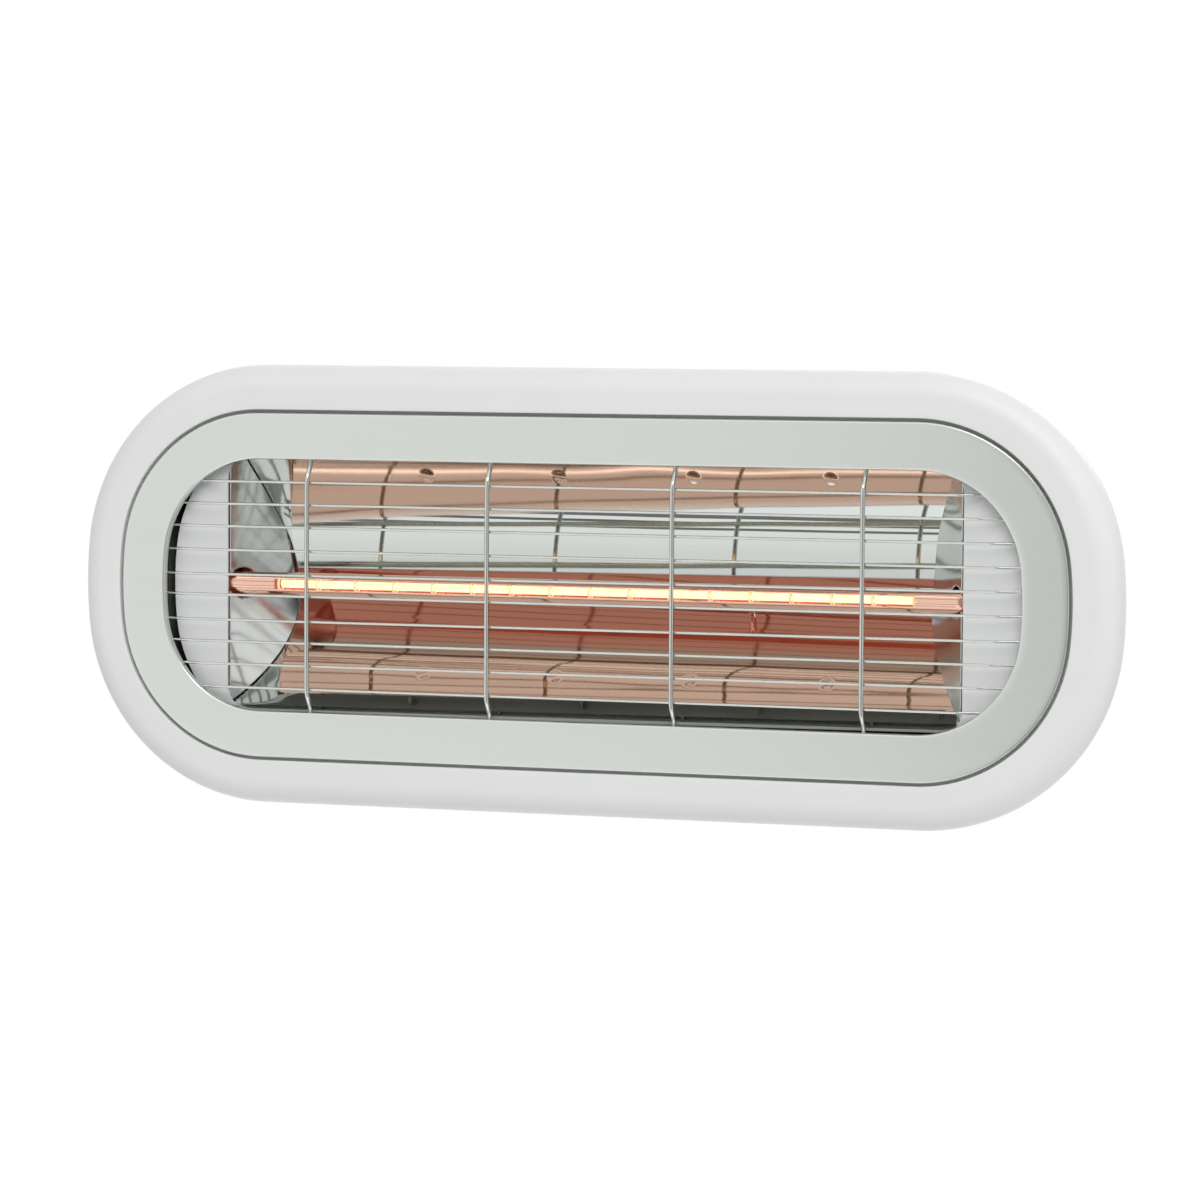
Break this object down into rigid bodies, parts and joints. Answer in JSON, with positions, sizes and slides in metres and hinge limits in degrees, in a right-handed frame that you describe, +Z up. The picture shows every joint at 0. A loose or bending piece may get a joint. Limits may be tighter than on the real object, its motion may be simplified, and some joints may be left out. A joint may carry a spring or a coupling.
{
  "type": "infrared patio heater",
  "caption": "Wall-held infrared heater: oval cast frame, steel bezel, wire guard, parabolic trough with a rod lamp, rear casing and a tilting wall bracket.",
  "frame": {"origin": "centre of the wall plate's four-hole pattern, on the wall face", "axes": "+Y points into the wall, so the heater faces -Y; +X is to the right of someone facing the heater; +Z is up"},
  "size_m": [0.4698, 0.1544, 0.1916],
  "materials": {
    "cast_paint": "satin pale grey-white powder coat",
    "casing_paint": "satin pale grey-white powder coat on die-cast aluminium",
    "bezel_steel": "fine satin stainless steel",
    "guard_wire": "bright stainless wire",
    "plate_paint": "pale enamelled sheet steel",
    "mirror_sheet": "mirror-finished aluminium sheet",
    "lamp_glass": "copper-tinted quartz tube",
    "tungsten": "glowing tungsten wire",
    "molybdenum": "dull molybdenum discs",
    "ceramic": "unglazed white ceramic",
    "spring_steel": "spring steel strip",
    "shield_sheet": "mill-finish aluminium sheet",
    "screw_steel": "stainless screws",
    "seal_rubber": "black silicone rubber",
    "gland_plastic": "black moulded nylon",
    "lead_sleeve": "glass-fibre sleeved lead",
    "terminal_ceramic": "white ceramic terminal body",
    "bracket_paint": "powder-coated steel"
  },
  "bodies": {
    "bracket": {"wall_bracket": "bracket_paint"},
    "heater": {"front_frame": "cast_paint", "bezel": "bezel_steel", "guard_rim": "guard_wire", "guard_rods": "guard_wire", "guard_rod_ends": "guard_wire", "guard_bars": "guard_wire", "front_plate": "plate_paint", "plate_screws": "screw_steel", "reflector_trough": "mirror_sheet", "end_reflector_left": "mirror_sheet", "end_reflector_right": "mirror_sheet", "lamp_tube": "lamp_glass", "lamp_filament": "tungsten", "filament_supports": "molybdenum", "lamp_caps": "ceramic", "lamp_clips": "spring_steel", "lamp_leads": "lead_sleeve", "heat_shield": "shield_sheet", "shield_posts": "screw_steel", "terminal_block": "terminal_ceramic", "earth_screw": "screw_steel", "rear_casing": "casing_paint", "casing_gasket": "seal_rubber", "casing_screws": "screw_steel", "gland_body": "gland_plastic", "gland_nut": "gland_plastic", "gland_seal": "seal_rubber", "gland_locknut": "gland_plastic", "pivot_bolts": "screw_steel", "pivot_washers": "screw_steel", "lock_bolts": "screw_steel", "lock_washers": "screw_steel"}
  },
  "joints": [
    {"name": "tilt", "type": "hinge", "parent": "bracket", "child": "heater", "pos_m": [0, -0.05, 0], "axis": [1, 0, 0], "range_deg": [0, 45]}
  ]
}
